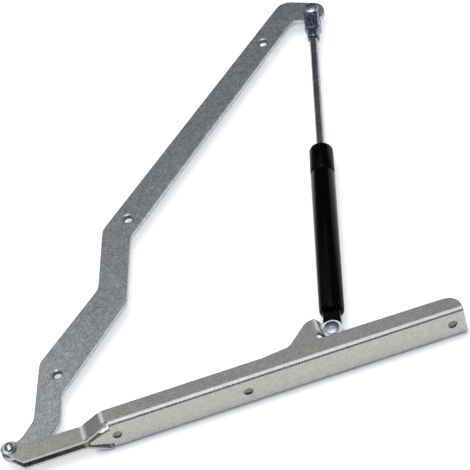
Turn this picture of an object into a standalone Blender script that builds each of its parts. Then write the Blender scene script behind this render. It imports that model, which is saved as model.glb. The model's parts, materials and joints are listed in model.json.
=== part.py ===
"""Gas strut lift hinge, lying on its side as photographed.

X runs along the base rail, Y away from its mounting face, Z up.
The origin is the middle of the rail's mounting face. Metres throughout.
"""

import math

import bmesh
import bpy
import numpy as np
from mathutils import Matrix, Vector

# Clearance between neighbouring pieces, cutting and rounding
play = 0.0003
cut_overrun = 0.002
edge_break = 0.0004
arc_step_deg = 22.5
smooth_angle_deg = 35
flat_angle_deg = 0.3
slice_share = 0.05

# Places of the pivots: the main one from the rail, the other two from the main one
pivot_height = 0.0185
pivot_to_web_middle = 0.2435
lower_pivot = (0.2935, 0.0136)
top_pivot = (0.3833, 0.3993)

# Base rail: one folded sheet; lengths along it are taken from the main pivot
sheet_thickness = 0.0025
rail_half_width = 0.0163
bend_outer_radius = 0.0045
rail_end = 0.4037
flange_edge = -0.0007
end_corner_share = 0.95
bend_steps = 5

# Rail: the tongue of the web and the slits beside it
tongue_tip = 0.0668
tongue_tip_half_width = 0.0016
tongue_half_width = 0.0090
slit_start = 0.0848
slit_end = 0.0858

# Rail: the two leaves that hold the arm
leaf_joggle_start = 0.0823
leaf_joggle_end = 0.0634
joggle_radius = 0.0045
leaf_neck = (0.0125, 0.0000)
leaf_neck_radius = 0.0030
leaf_eye_radius = 0.0085
leaf_cut_distance = 0.0062
leaf_cut_angle_deg = -49.2
leaf_toe_radius = 0.0010

# Rail: the hump and the lug that hold the strut; along the rail from the lower pivot,
# and upward from the flange's edge
hump_corners = (
    (-0.0125, 0.0240, 0.0030),
    (-0.0205, 0.0226, 0.0080),
    (-0.0404, 0.0027, 0.0080),
    (-0.0651, 0.0000, 0.0000),
)
relief_offset = (-0.0125, 0.0040)
relief_radius = 0.0030
lug_joggle_start = -0.0125
lug_joggle_end = -0.0075
lug_joggle_radius = 0.0015
lug_round_offset = (-0.0001, 0.0000)
lug_round_radius = 0.0095
lug_round_start_deg = -130
lug_round_end_deg = 115

# Rail: screw holes in the web
web_hole_places = (0.0910, 0.2084)
web_end_hole_from_end = 0.0119
web_hole_radius = 0.0038
web_hole_rim_radius = 0.0045
web_hole_rim_depth = 0.0008

# Lift arm: one flat bar; corners are x, y and rounding, from the main pivot
arm_thickness = 0.0050
arm_eye_radius = 0.0082
arm_eye_end_deg = 50
arm_lower_corners = (
    (0.0316, -0.0020, 0.0100),
    (0.0478, 0.0141, 0.0140),
    (0.0554, 0.0443, 0.0110),
    (0.1330, 0.1221, 0.0140),
    (0.1546, 0.1957, 0.0140),
)
arm_upper_corners = (
    (0.1322, 0.2133, 0.0140),
    (0.1126, 0.1466, 0.0140),
    (0.0445, 0.0847, 0.0140),
    (0.0260, 0.0245, 0.0120),
    (0.0126, 0.0106, 0.0060),
)
hook_angle_deg = -27.0
hook_radius = 0.0121
hook_inner_corner = (-0.0206, -0.0032, 0.0120)
hook_outer_corner = (-0.0233, 0.0255, 0.0130)
arm_hole_places = ((0.0566, 0.0660), (0.1571, 0.2172))
hook_hole_offset = (-0.0540, -0.0194)
arm_hole_radius = 0.0038
arm_hole_rim_radius = 0.0054
arm_hole_rim_depth = 0.0014

# Rivets
rivet_shank_radius = 0.0040
main_head_radius = 0.0061
main_head_height = 0.0056
main_tail_radius = 0.0058
main_tail_height = 0.0026
lower_head_radius = 0.0068
lower_head_height = 0.0022
top_head_radius = 0.0064
top_head_height = 0.0022
rivet_edge_radius = 0.0009

# Strut tube; places along the strut are taken from the lower pivot
tube_radius = 0.0110
tube_wall = 0.0015
tube_start = 0.0227
tube_length = 0.1973
tube_foot_radius = 0.0045
tube_shoulder_radius = 0.0050
tube_groove_from_end = 0.0320
tube_groove_depth = 0.0010
tube_groove_half_width = 0.0016
tube_groove_floor_share = 0.45
tube_segments = 36

# Strut rod and the fork on its end; the fork's lengths are taken from the top pivot
rod_radius = 0.0040
fork_half_width = 0.0074
fork_half_thickness = 0.0064
fork_bar_radius = 0.0082
fork_slot_depth = 0.0155
fork_wide_length = 0.0232
fork_cone_length = 0.0016
fork_length = 0.0352
fork_neck_radius = 0.0059
fork_bore_floor = 0.0035
fork_neck_chamfer = 0.0008

# Eye on the foot of the tube
eye_half_thickness = 0.0052
eye_radius = 0.0092
eye_neck_half_width = 0.0076
eye_edge_radius = 0.0022
eye_stem_radius = 0.0046
eye_stem_length = 0.0080
eye_stem_round_share = 0.999

# Plug in the foot of the tube
plug_length = 0.0090
plug_ring_thickness = 0.0019
plug_ring_share = 0.60
plug_ring_sides = 8

# Seal pack under the mouth of the tube
mouth_gap = 0.0016
pack_washer_thickness = 0.0018
seal_height = 0.0045
seal_lip_depth = 0.0018
seal_lip_share = 0.25
wiper_height = 0.0028

# Piston pack
piston_from_groove = 0.0020
piston_washer_thickness = 0.0013
piston_front_washer_radius = 0.0072
piston_back_washer_radius = 0.0066
piston_length = 0.0090
piston_ring_height = 0.0026
piston_ring_depth = 0.0018
spigot_radius = 0.0025
nut_half_flats = 0.0040
nut_height = 0.0035
spigot_overhang = 0.0010

# Roundness of the small turned pieces
small_segments = 24
inner_segments = 20
hole_segments = 24

for old in list(bpy.data.objects):
    bpy.data.objects.remove(old, do_unlink=True)


def polar(centre, radius, angle):
    return (centre[0] + radius * math.cos(angle), centre[1] + radius * math.sin(angle))


def arc(centre, radius, start_deg, end_deg):
    """Points on an arc, both ends included."""
    steps = max(1, math.ceil(abs(end_deg - start_deg) / arc_step_deg))
    return [
        polar(centre, radius, math.radians(start_deg + (end_deg - start_deg) * i / steps))
        for i in range(steps + 1)
    ]


def fillet(before, corner, after, radius):
    """The arc that rounds one corner, or the corner itself where it has no rounding."""
    if radius == 0:
        return [tuple(corner)]
    middle = Vector(corner)
    back = (Vector(before) - middle).normalized()
    ahead = (Vector(after) - middle).normalized()
    half = math.acos(max(-1.0, min(1.0, back.dot(ahead)))) / 2
    turn = math.pi - 2 * half
    reach = radius / math.tan(half)
    centre = middle + (back + ahead).normalized() * (radius / math.sin(half))
    first = middle + back * reach - centre
    side = 1 if back.cross(ahead) < 0 else -1
    steps = max(1, math.ceil(math.degrees(turn) / arc_step_deg))
    start = math.atan2(first.y, first.x)
    return [polar(centre, radius, start + side * turn * i / steps) for i in range(steps + 1)]


def rounded(points):
    """A run of x, y, rounding points; the two end points stay as they are."""
    out = [tuple(points[0][:2])]
    for i in range(1, len(points) - 1):
        out += fillet(points[i - 1][:2], points[i][:2], points[i + 1][:2], points[i][2])
    return out + [tuple(points[-1][:2])]


def offset_path(path, distance):
    """The path moved sideways to its left by the distance, with mitred corners."""
    out = []
    for i, point in enumerate(path):
        here = Vector(point)
        ways = []
        if i > 0:
            ways.append((here - Vector(path[i - 1])).normalized())
        if i < len(path) - 1:
            ways.append((Vector(path[i + 1]) - here).normalized())
        normals = [Vector((-way.y, way.x)) for way in ways]
        mean = sum(normals, Vector((0, 0))).normalized()
        out.append(here + mean * (distance / mean.dot(normals[0])))
    return out


def material(name, colour, metallic, roughness):
    made = bpy.data.materials.new(name)
    made.use_nodes = True
    shader = made.node_tree.nodes["Principled BSDF"]
    shader.inputs["Base Color"].default_value = (*colour, 1)
    shader.inputs["Metallic"].default_value = metallic
    shader.inputs["Roughness"].default_value = roughness
    made.diffuse_color = (*colour, 1)
    return made


def place(name, mesh_parts, origin, finish):
    """Make one object of a bmesh built round the main pivot; origin is its own centre."""
    mesh = bpy.data.meshes.new(name)
    mesh_parts.normal_update()
    bmesh.ops.recalc_face_normals(mesh_parts, faces=mesh_parts.faces[:])
    mesh_parts.transform(Matrix.Translation(-Vector(origin)))
    mesh_parts.to_mesh(mesh)
    mesh_parts.free()
    made = bpy.data.objects.new(name, mesh)
    bpy.context.scene.collection.objects.link(made)
    shift = Vector((-pivot_to_web_middle, pivot_height, 0))
    made.location = Vector(origin) + shift
    if finish is None:
        made.hide_render = True
        made.display_type = "WIRE"
    else:
        mesh.materials.append(finish)
        mesh.shade_smooth()
        mesh.set_sharp_from_angle(angle=math.radians(smooth_angle_deg))
    return made


def cut(target, cutter, operation="DIFFERENCE"):
    step = target.modifiers.new(operation.title() + " " + cutter.name, "BOOLEAN")
    step.object = cutter
    step.operation = operation
    step.solver = "EXACT"


def break_edges(target, width):
    step = target.modifiers.new("Edge break", "BEVEL")
    step.width = width
    step.segments = 1
    step.limit_method = "ANGLE"
    step.angle_limit = math.radians(smooth_angle_deg)


def turned(profile, segments, frame=None, closed=False):
    """A solid of revolution from radius, height points, placed by a frame."""
    parts = bmesh.new()
    rings = []
    for radius, height in profile:
        if radius == 0:
            rings.append([parts.verts.new((0, 0, height))])
            continue
        rings.append([
            parts.verts.new((
                radius * math.cos(2 * math.pi * i / segments),
                radius * math.sin(2 * math.pi * i / segments),
                height,
            ))
            for i in range(segments)
        ])
    pairs = list(zip(rings, rings[1:]))
    if closed:
        pairs.append((rings[-1], rings[0]))
    for low, high in pairs:
        if len(low) == 1 or len(high) == 1:
            ring = high if len(low) == 1 else low
            parts.faces.new(ring)
            continue
        for i in range(segments):
            j = (i + 1) % segments
            parts.faces.new((low[i], low[j], high[j], high[i]))
    lone = [vert for vert in parts.verts if not vert.link_faces]
    bmesh.ops.delete(parts, geom=lone, context="VERTS")
    if frame is not None:
        parts.transform(frame)
    return parts


def slab(outline, low, high):
    """A flat plate with the outline in X and Y, between two heights."""
    parts = bmesh.new()
    bottom = [parts.verts.new((x, y, low)) for x, y in outline]
    top = [parts.verts.new((x, y, high)) for x, y in outline]
    parts.faces.new(bottom)
    parts.faces.new(top)
    count = len(outline)
    for i in range(count):
        j = (i + 1) % count
        parts.faces.new((bottom[i], bottom[j], top[j], top[i]))
    return parts


def loft(sections):
    """A skin over rings of equal point count, closed by a flat face at each end."""
    parts = bmesh.new()
    rings = [[parts.verts.new(point) for point in ring] for ring in sections]
    count = len(rings[0])
    for low, high in zip(rings, rings[1:]):
        for i in range(count):
            j = (i + 1) % count
            parts.faces.new((low[i], low[j], high[j], high[i]))
    parts.faces.new(rings[0])
    parts.faces.new(rings[-1])
    return parts


def hole_cutter(name, low, high, radius, rim_radius, rim_depth, frame):
    """A round cutter whose rim flares out through its high end."""
    flare = (rim_radius - radius) / rim_depth
    profile = [
        (0, low - cut_overrun),
        (radius, low - cut_overrun),
        (radius, high - rim_depth),
        (rim_radius + flare * cut_overrun, high + cut_overrun),
        (0, high + cut_overrun),
    ]
    return place(name, turned(profile, hole_segments, frame), frame.to_translation(), None)


def pin_cutter(name, centre, radius, half_length):
    profile = [(0, -half_length), (radius, -half_length), (radius, half_length), (0, half_length)]
    frame = Matrix.Translation((*centre, 0))
    return place(name, turned(profile, hole_segments, frame), (*centre, 0), None)


zinc = material("zinc plated steel", (0.52, 0.53, 0.54), 0.9, 0.42)
zinc_arm = material("zinc plated bar", (0.42, 0.43, 0.44), 0.9, 0.45)
rivet_steel = material("bright rivet steel", (0.60, 0.62, 0.66), 1.0, 0.25)
black_paint = material("gloss black paint", (0.012, 0.012, 0.013), 0.0, 0.22)
dark_chrome = material("dark chrome rod", (0.20, 0.20, 0.21), 1.0, 0.15)
fork_zinc = material("dark zinc fork", (0.25, 0.26, 0.28), 0.9, 0.35)
inner_steel = material("plain machined steel", (0.55, 0.55, 0.56), 1.0, 0.35)
guide_brass = material("sintered bronze", (0.55, 0.38, 0.18), 1.0, 0.40)
rubber = material("black rubber", (0.02, 0.02, 0.02), 0.0, 0.75)
piston_plastic = material("dark piston plastic", (0.06, 0.06, 0.07), 0.0, 0.50)

# Sizes that follow from the ones above
half_sheet = sheet_thickness / 2
web_outside = -pivot_height
bend_top = web_outside + bend_outer_radius
flange_middle = rail_half_width - half_sheet
arm_half = arm_thickness / 2
leaf_inside = arm_half + play
leaf_outside = leaf_inside + sheet_thickness
lug_inside = eye_half_thickness + play
lug_outside = lug_inside + sheet_thickness
tube_inner_radius = tube_radius - tube_wall
loose_radius = tube_inner_radius - play
rod_hole_radius = rod_radius + play
tube_end = tube_start + tube_length
tube_groove = tube_end - tube_groove_from_end
strut_vector = Vector((top_pivot[0] - lower_pivot[0], top_pivot[1] - lower_pivot[1], 0))
strut_length = strut_vector.length
along = strut_vector.normalized()
across = Vector((-along.y, along.x, 0))
upward = Vector((0, 0, 1))
strut_frame = Matrix((
    (across.x, upward.x, along.x, lower_pivot[0]),
    (across.y, upward.y, along.y, lower_pivot[1]),
    (across.z, upward.z, along.z, 0),
    (0, 0, 0, 1),
))
relief_centre = (lower_pivot[0] + relief_offset[0], flange_edge + relief_offset[1])
lug_round_centre = (lower_pivot[0] + lug_round_offset[0], lower_pivot[1] + lug_round_offset[1])
hump_start = lower_pivot[0] + hump_corners[-1][0]
main_origin = (0, 0, 0)
lower_origin = (*lower_pivot, 0)
top_origin = (*top_pivot, 0)


def cross_profile():
    """The middle of the sheet across one half of the channel: z, y points from the web's middle."""
    middle_radius = bend_outer_radius - half_sheet
    centre = (rail_half_width - bend_outer_radius, bend_top)
    path = [(0, web_outside + half_sheet)]
    for i in range(bend_steps + 1):
        path.append(polar(centre, middle_radius, math.pi / 2 * (i / bend_steps - 1)))
    return path


def developed(path):
    """Running length along a path at each of its points."""
    runs = [0]
    for first, second in zip(path, path[1:]):
        runs.append(runs[-1] + (Vector(second) - Vector(first)).length)
    return runs


def joggle_path(start, end, shift_to, radius, far_before, far_after):
    """The middle of the sheet in plan where a flange steps inward: x, z points by rising x."""
    points = [
        (far_before, flange_middle, 0),
        (start, flange_middle, radius),
        (end, shift_to, radius),
        (far_after, shift_to, 0),
    ]
    path = rounded(points)
    return sorted(path)


def leaf_outline():
    """The leaf from the rail's free edge round the eye to the toe, in x and y."""
    neck = Vector(leaf_neck)
    tangent = math.acos(leaf_eye_radius / neck.length) + math.atan2(neck.y, neck.x)
    normal = math.radians(leaf_cut_angle_deg - 90)
    eye_leave = normal - math.acos(leaf_cut_distance / leaf_eye_radius) + 2 * math.pi
    eye = arc((0, 0), leaf_eye_radius, math.degrees(tangent), math.degrees(eye_leave))
    way = math.radians(leaf_cut_angle_deg)
    foot = polar((0, 0), leaf_cut_distance, normal)
    run = (web_outside - foot[1]) / math.sin(way)
    toe = (foot[0] + run * math.cos(way), web_outside)
    edge = (leaf_joggle_end, flange_edge)
    top = rounded([(*edge, 0), (*leaf_neck, leaf_neck_radius), (*eye[0], 0)])
    heel = rounded([(*eye[-1], 0), (*toe, leaf_toe_radius), (slit_start, web_outside, 0)])
    return top + eye[1:] + heel[1:]


def flange_outline():
    """The flange's free side from the rail's end to the leaf's heel, in x and y."""
    end = rounded([
        (rail_end, bend_top, 0),
        (rail_end, flange_edge, (flange_edge - bend_top) * end_corner_share),
        (relief_centre[0], flange_edge, 0),
    ])
    relief = arc(relief_centre, relief_radius, -90, -270)
    lug = arc(lug_round_centre, lug_round_radius, lug_round_start_deg, lug_round_end_deg)
    corners = [(lower_pivot[0] + x, flange_edge + y, radius) for x, y, radius in hump_corners]
    hump = rounded([(*lug[-1], 0)] + corners)
    return end[:-1] + relief + lug + hump[1:] + leaf_outline()


def make_rail():
    profile = cross_profile()
    runs = developed(profile)
    bend_run = runs[-1]
    leaf_path = joggle_path(
        leaf_joggle_start, leaf_joggle_end, leaf_outside - half_sheet, joggle_radius,
        slit_end, -leaf_eye_radius,
    )
    lug_path = joggle_path(
        lower_pivot[0] + lug_joggle_start, lower_pivot[0] + lug_joggle_end,
        lug_outside - half_sheet, lug_joggle_radius,
        hump_start, lug_round_centre[0] + lug_round_radius,
    )

    side = [(x, bend_run + y - bend_top) for x, y in flange_outline()]
    side = [(rail_end, 0)] + side
    side += [
        (slit_start, bend_run),
        (slit_end, bend_run),
        (slit_end, tongue_half_width),
        (tongue_tip, tongue_tip_half_width),
    ]
    outline = side[1:] + [(x, -s) for x, s in reversed(side[1:])]

    blank = bmesh.new()
    blank.faces.new([blank.verts.new((x, s, 0)) for x, s in outline])
    blank.normal_update()

    def slice_at(point, normal):
        bmesh.ops.bisect_plane(
            blank, geom=blank.verts[:] + blank.edges[:] + blank.faces[:],
            dist=play * slice_share, plane_co=point, plane_no=normal,
        )

    for run in runs[1:]:
        slice_at((0, run, 0), (0, 1, 0))
        slice_at((0, -run, 0), (0, 1, 0))
    for x, z in leaf_path[1:-1] + lug_path[1:-1]:
        slice_at((x, 0, 0), (1, 0, 0))

    lug_floor = bend_run + relief_centre[1] - bend_top
    tables = {}
    for layer in (1, -1):
        sideways = offset_path(profile, -layer * half_sheet)
        leaf_side = offset_path(leaf_path, layer * half_sheet)
        lug_side = offset_path(lug_path, layer * half_sheet)
        tables[layer] = (sideways, leaf_side, lug_side)

    def folded(x, s, layer):
        sideways, leaf_side, lug_side = tables[layer]
        turn = 1 if s >= 0 else -1
        reach = abs(s)
        slack = play * slice_share
        if x < slit_start + slack and reach > tongue_half_width + slack:
            path, moved = leaf_path, leaf_side
        elif x > relief_centre[0] - relief_radius and reach > lug_floor:
            path, moved = lug_path, lug_side
        elif reach > bend_run:
            return (x, bend_top + reach - bend_run, turn * (flange_middle + layer * half_sheet))
        else:
            z = np.interp(reach, runs, [p.x for p in sideways])
            y = np.interp(reach, runs, [p.y for p in sideways])
            return (x, y, turn * z)
        xs = [p[0] for p in path]
        new_x = np.interp(x, xs, [p.x for p in moved])
        z = np.interp(x, xs, [p.y for p in moved])
        if x < xs[0] or x > xs[-1]:
            new_x = x
        return (new_x, bend_top + reach - bend_run, turn * z)

    solid = bmesh.new()
    layers = {}
    for layer in (1, -1):
        made = {}
        for vert in blank.verts:
            made[vert] = solid.verts.new(folded(vert.co.x, vert.co.y, layer))
        layers[layer] = made
    for face in blank.faces:
        solid.faces.new([layers[1][vert] for vert in face.verts])
        solid.faces.new([layers[-1][vert] for vert in reversed(face.verts)])
    for edge in blank.edges:
        if len(edge.link_faces) == 1:
            first, second = edge.verts
            solid.faces.new((
                layers[1][first], layers[1][second], layers[-1][second], layers[-1][first],
            ))
    blank.free()
    solid.normal_update()
    bmesh.ops.recalc_face_normals(solid, faces=solid.faces[:])
    bmesh.ops.dissolve_limit(
        solid, angle_limit=math.radians(flat_angle_deg),
        verts=solid.verts[:], edges=solid.edges[:],
    )
    rail = place("base_rail", solid, main_origin, zinc)

    for number, x in enumerate(web_hole_places + (rail_end - web_end_hole_from_end,)):
        turn = Matrix.Rotation(math.pi / 2, 4, "X")
        frame = Matrix.Translation((x, web_outside + sheet_thickness, 0)) @ turn
        cutter = hole_cutter(
            "web_hole_cutter_" + str(number + 1), 0, sheet_thickness,
            web_hole_radius, web_hole_rim_radius, web_hole_rim_depth, frame,
        )
        cut(rail, cutter)
    pivot_hole = rivet_shank_radius + play
    half_length = rail_half_width + cut_overrun
    cut(rail, pin_cutter("leaf_pivot_cutter", (0, 0), pivot_hole, half_length))
    cut(rail, pin_cutter("lug_pivot_cutter", lower_pivot, pivot_hole, half_length))
    return rail


def make_arm():
    first = Vector(arm_lower_corners[0][:2])
    leave = math.atan2(first.y, first.x) - math.acos(arm_eye_radius / first.length)
    eye = arc((0, 0), arm_eye_radius, arm_eye_end_deg, math.degrees(leave) + 360)
    hook = arc(top_pivot, hook_radius, hook_angle_deg - 90, hook_angle_deg + 90)
    inner, outer = [
        (top_pivot[0] + x, top_pivot[1] + y, radius)
        for x, y, radius in (hook_inner_corner, hook_outer_corner)
    ]
    lower = rounded([(*eye[-1], 0)] + list(arm_lower_corners) + [inner, (*hook[0], 0)])
    upper = rounded([(*hook[-1], 0), outer] + list(arm_upper_corners) + [(*eye[0], 0)])
    outline = eye + lower[1:-1] + hook + upper[1:-1]
    arm = place("lift_arm", slab(outline, -arm_half, arm_half), main_origin, zinc_arm)
    hook_hole = (top_pivot[0] + hook_hole_offset[0], top_pivot[1] + hook_hole_offset[1])
    for number, (x, y) in enumerate(arm_hole_places + (hook_hole,)):
        cutter = hole_cutter(
            "arm_hole_cutter_" + str(number + 1), -arm_half, arm_half,
            arm_hole_radius, arm_hole_rim_radius, arm_hole_rim_depth,
            Matrix.Translation((x, y, 0)),
        )
        cut(arm, cutter)
    pivot_hole = rivet_shank_radius + play
    half_length = arm_half + cut_overrun
    cut(arm, pin_cutter("arm_main_pivot_cutter", (0, 0), pivot_hole, half_length))
    cut(arm, pin_cutter("arm_top_pivot_cutter", top_pivot, pivot_hole, half_length))
    break_edges(arm, edge_break)
    return arm


def dome(radius, low, height):
    """A domed rivet head from its rim to its crown: radius, height points."""
    bow = (radius * radius + height * height) / (2 * height)
    centre = low + height - bow
    start = math.degrees(math.asin((low - centre) / bow))
    return arc((0, centre), bow, start, 90)


def flat_head(radius, low, height, edge):
    """A flat rivet head with a rounded rim, from its rim to its middle."""
    rim = arc((radius - edge, low + height - edge), edge, 0, 90)
    return [(radius, low)] + rim + [(0, low + height)]


def make_main_rivet():
    seat = leaf_outside + play
    head = dome(main_head_radius, seat, main_head_height)
    head[-1] = (0, head[-1][1])
    tail = [(r, -h) for r, h in flat_head(main_tail_radius, seat, main_tail_height, rivet_edge_radius)]
    profile = tail[::-1] + [(rivet_shank_radius, -seat), (rivet_shank_radius, seat)] + head
    place("main_pivot_rivet", turned(profile, small_segments), main_origin, rivet_steel)


def make_lower_rivet():
    seat = lug_outside + play
    head = flat_head(lower_head_radius, seat, lower_head_height, rivet_edge_radius)
    stub = [(0, lug_inside), (rivet_shank_radius, lug_inside), (rivet_shank_radius, seat)]
    frame = Matrix.Translation(lower_origin)
    profile = stub + head
    place("lower_pivot_rivet_head", turned(profile, small_segments, frame), lower_origin, rivet_steel)
    mirrored = [(r, -h) for r, h in profile]
    place("lower_pivot_rivet_tail", turned(mirrored, small_segments, frame), lower_origin, rivet_steel)


def make_top_rivet():
    seat = fork_half_thickness + play
    head = flat_head(top_head_radius, seat, top_head_height, rivet_edge_radius)
    tail = [(r, -h) for r, h in head]
    profile = tail[::-1] + [(rivet_shank_radius, -seat), (rivet_shank_radius, seat)] + head
    frame = Matrix.Translation(top_origin)
    place("top_pivot_rivet", turned(profile, small_segments, frame), top_origin, rivet_steel)


def tube_mouth_radius():
    return tube_radius - tube_shoulder_radius


def tube_foot_mouth():
    return tube_radius - tube_foot_radius


def make_tube():
    foot = (tube_foot_mouth(), tube_start + tube_foot_radius)
    shoulder = (tube_mouth_radius(), tube_end - tube_shoulder_radius)
    groove = [
        (tube_radius, tube_groove - tube_groove_half_width),
        (tube_radius - tube_groove_depth, tube_groove - tube_groove_half_width * tube_groove_floor_share),
        (tube_radius - tube_groove_depth, tube_groove + tube_groove_half_width * tube_groove_floor_share),
        (tube_radius, tube_groove + tube_groove_half_width),
    ]
    outside = [(eye_stem_radius + play, tube_start)]
    outside += arc(foot, tube_foot_radius, -90, 0) + groove
    outside += arc(shoulder, tube_shoulder_radius, 0, 90)
    top_hole = rod_radius + mouth_gap
    outside.append((top_hole, tube_end))
    inside = [(top_hole, tube_end - tube_wall)]
    inside += arc(shoulder, tube_shoulder_radius - tube_wall, 90, 0)
    inside += [(r - tube_wall, h) for r, h in reversed(groove)]
    inside += arc(foot, tube_foot_radius - tube_wall, 0, -90)
    inside.append((eye_stem_radius + play, tube_start + tube_wall))
    parts = turned(outside + inside, tube_segments, strut_frame, closed=True)
    place("strut_tube", parts, lower_origin, black_paint)


def make_rod():
    top = strut_length - fork_slot_depth - fork_bore_floor - play
    shoulder = tube_groove - tube_groove_half_width - piston_from_groove
    low = nut_bottom() - spigot_overhang
    profile = [
        (0, low),
        (spigot_radius, low),
        (spigot_radius, shoulder),
        (rod_radius, shoulder),
        (rod_radius, top - edge_break),
        (rod_radius - edge_break, top),
        (0, top),
    ]
    place("strut_rod", turned(profile, small_segments, strut_frame), top_origin, dark_chrome)


def make_fork():
    """A bar turned to a neck and a cone, milled flat, slotted and drilled."""
    pin = strut_length
    wide = pin - fork_wide_length
    bottom = pin - fork_length
    head = [
        (fork_half_width * math.cos(math.radians(a)), pin + fork_half_width * math.sin(math.radians(a)))
        for a in np.arange(0, 180 + arc_step_deg / 2, arc_step_deg)
    ]
    outline = head + [(-fork_half_width, bottom - cut_overrun), (fork_half_width, bottom - cut_overrun)]
    parts = slab(outline, -fork_half_thickness, fork_half_thickness)
    swap = Matrix(((1, 0, 0, 0), (0, 0, 1, 0), (0, 1, 0, 0), (0, 0, 0, 1)))
    parts.transform(strut_frame @ swap)
    fork = place("rod_end_fork", parts, top_origin, fork_zinc)

    envelope = [
        (0, bottom),
        (fork_neck_radius - fork_neck_chamfer, bottom),
        (fork_neck_radius, bottom + fork_neck_chamfer),
        (fork_neck_radius, wide - fork_cone_length),
        (fork_bar_radius, wide),
        (fork_bar_radius, pin + fork_half_width + cut_overrun),
        (0, pin + fork_half_width + cut_overrun),
    ]
    cutter = place("fork_bar_cutter", turned(envelope, tube_segments, strut_frame), top_origin, None)
    cut(fork, cutter, "INTERSECT")

    slot_low = pin - fork_slot_depth
    slot_high = pin + fork_half_width + cut_overrun
    reach = fork_half_width + cut_overrun
    gap = leaf_inside
    box = slab([(-reach, slot_low), (reach, slot_low), (reach, slot_high), (-reach, slot_high)], -gap, gap)
    box.transform(strut_frame @ swap)
    cut(fork, place("fork_slot_cutter", box, top_origin, None))

    bore_top = slot_low - fork_bore_floor
    bore = [
        (0, bottom - cut_overrun),
        (rod_hole_radius, bottom - cut_overrun),
        (rod_hole_radius, bore_top),
        (0, bore_top),
    ]
    cut(fork, place("fork_bore_cutter", turned(bore, hole_segments, strut_frame), top_origin, None))
    pivot_hole = rivet_shank_radius + play
    half_length = fork_half_thickness + cut_overrun
    cut(fork, pin_cutter("fork_pivot_cutter", top_pivot, pivot_hole, half_length))
    break_edges(fork, edge_break)


def eye_section(run, half_width, half_thickness, edge):
    """One ring of the eye: a rounded rectangle across the strut at a distance along it."""
    ring = []
    for quarter, (sx, sz) in enumerate(((1, 1), (-1, 1), (-1, -1), (1, -1))):
        centre = (sx * (half_width - edge), sz * (half_thickness - edge))
        for v, z in arc(centre, edge, 90 * quarter, 90 * (quarter + 1)):
            ring.append(strut_frame @ Vector((v, z, run)))
    return ring


def make_eye():
    neck_end = tube_start - play
    sections = []
    for angle in (-78, -65, -50, -35, -20, -5, 10, 25):
        run = eye_radius * math.sin(math.radians(angle))
        width = eye_radius * math.cos(math.radians(angle))
        sections.append(eye_section(run, width, eye_half_thickness, eye_edge_radius))
    sections.append(eye_section(neck_end, eye_neck_half_width, eye_half_thickness, eye_edge_radius))
    stem_edge = eye_stem_radius * eye_stem_round_share
    sections.append(eye_section(neck_end, eye_stem_radius, eye_stem_radius, stem_edge))
    stem_end = neck_end + eye_stem_length
    sections.append(eye_section(stem_end, eye_stem_radius, eye_stem_radius, stem_edge))
    eye = place("tube_end_eye", loft(sections), lower_origin, black_paint)
    pivot_hole = rivet_shank_radius + play
    half_length = eye_half_thickness + cut_overrun
    cut(eye, pin_cutter("eye_pivot_cutter", lower_pivot, pivot_hole, half_length))


def make_plug():
    seat = tube_start + tube_foot_radius
    inner_round = tube_foot_radius - tube_wall - play
    bottom = tube_start + tube_wall + play
    top = bottom + plug_length
    hole = eye_stem_radius + play
    hole_top = tube_start - play + eye_stem_length + play
    ring_middle = bottom + plug_length * plug_ring_share
    groove_half = plug_ring_thickness / 2 + play
    groove_floor = loose_radius - plug_ring_thickness - play
    profile = [(0, hole_top), (hole, hole_top), (hole, bottom)]
    profile += arc((tube_foot_mouth(), seat), inner_round, -90, 0)
    profile += [
        (loose_radius, ring_middle - groove_half),
        (groove_floor, ring_middle - groove_half),
        (groove_floor, ring_middle + groove_half),
        (loose_radius, ring_middle + groove_half),
        (loose_radius, top - edge_break),
        (loose_radius - edge_break, top),
        (0, top),
    ]
    place("tube_end_plug", turned(profile, inner_segments, strut_frame), lower_origin, inner_steel)
    small = plug_ring_thickness / 2
    ring = [
        (loose_radius - small + small * math.cos(a), ring_middle + small * math.sin(a))
        for a in np.linspace(0, 2 * math.pi, plug_ring_sides, endpoint=False)
    ]
    parts = turned(ring, inner_segments, strut_frame, closed=True)
    place("plug_seal_ring", parts, lower_origin, rubber)


def ring_profile(inner, outer, low, high):
    return [(inner, low), (outer, low), (outer, high), (inner, high)]


def add_ring(name, profile, origin, finish, segments):
    place(name, turned(profile, segments, strut_frame, closed=True), origin, finish)


def make_seal_pack():
    """From the groove outward: washer, seal, guide bush and wiper."""
    washer_low = tube_groove + tube_groove_half_width + play
    washer_high = washer_low + pack_washer_thickness
    profile = ring_profile(rod_hole_radius, loose_radius, washer_low, washer_high)
    add_ring("seal_washer", profile, lower_origin, inner_steel, inner_segments)

    seal_low = washer_high + play
    seal_high = seal_low + seal_height
    middle = (rod_hole_radius + loose_radius) / 2
    lip = (loose_radius - rod_hole_radius) * seal_lip_share
    profile = [
        (rod_hole_radius, seal_low),
        (rod_hole_radius + lip, seal_low),
        (middle, seal_low + seal_lip_depth),
        (loose_radius - lip, seal_low),
        (loose_radius, seal_low),
        (loose_radius, seal_high),
        (rod_hole_radius, seal_high),
    ]
    add_ring("rod_seal", profile, lower_origin, rubber, inner_segments)

    guide_low = seal_high + play
    guide_high = tube_end - tube_wall - play
    wiper_low = guide_high - wiper_height
    wiper_high = tube_end - play
    pocket = rod_radius + mouth_gap
    shoulder = (tube_mouth_radius(), tube_end - tube_shoulder_radius)
    profile = [
        (rod_hole_radius, guide_low),
        (loose_radius - edge_break, guide_low),
        (loose_radius, guide_low + edge_break),
    ]
    profile += arc(shoulder, tube_shoulder_radius - tube_wall - play, 0, 90)
    profile += [
        (pocket, guide_high),
        (pocket, wiper_low - play),
        (rod_hole_radius, wiper_low - play),
    ]
    add_ring("rod_guide", profile, lower_origin, guide_brass, inner_segments)

    profile = ring_profile(rod_hole_radius, pocket - play, wiper_low, wiper_high)
    add_ring("rod_wiper", profile, lower_origin, rubber, inner_segments)


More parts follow.
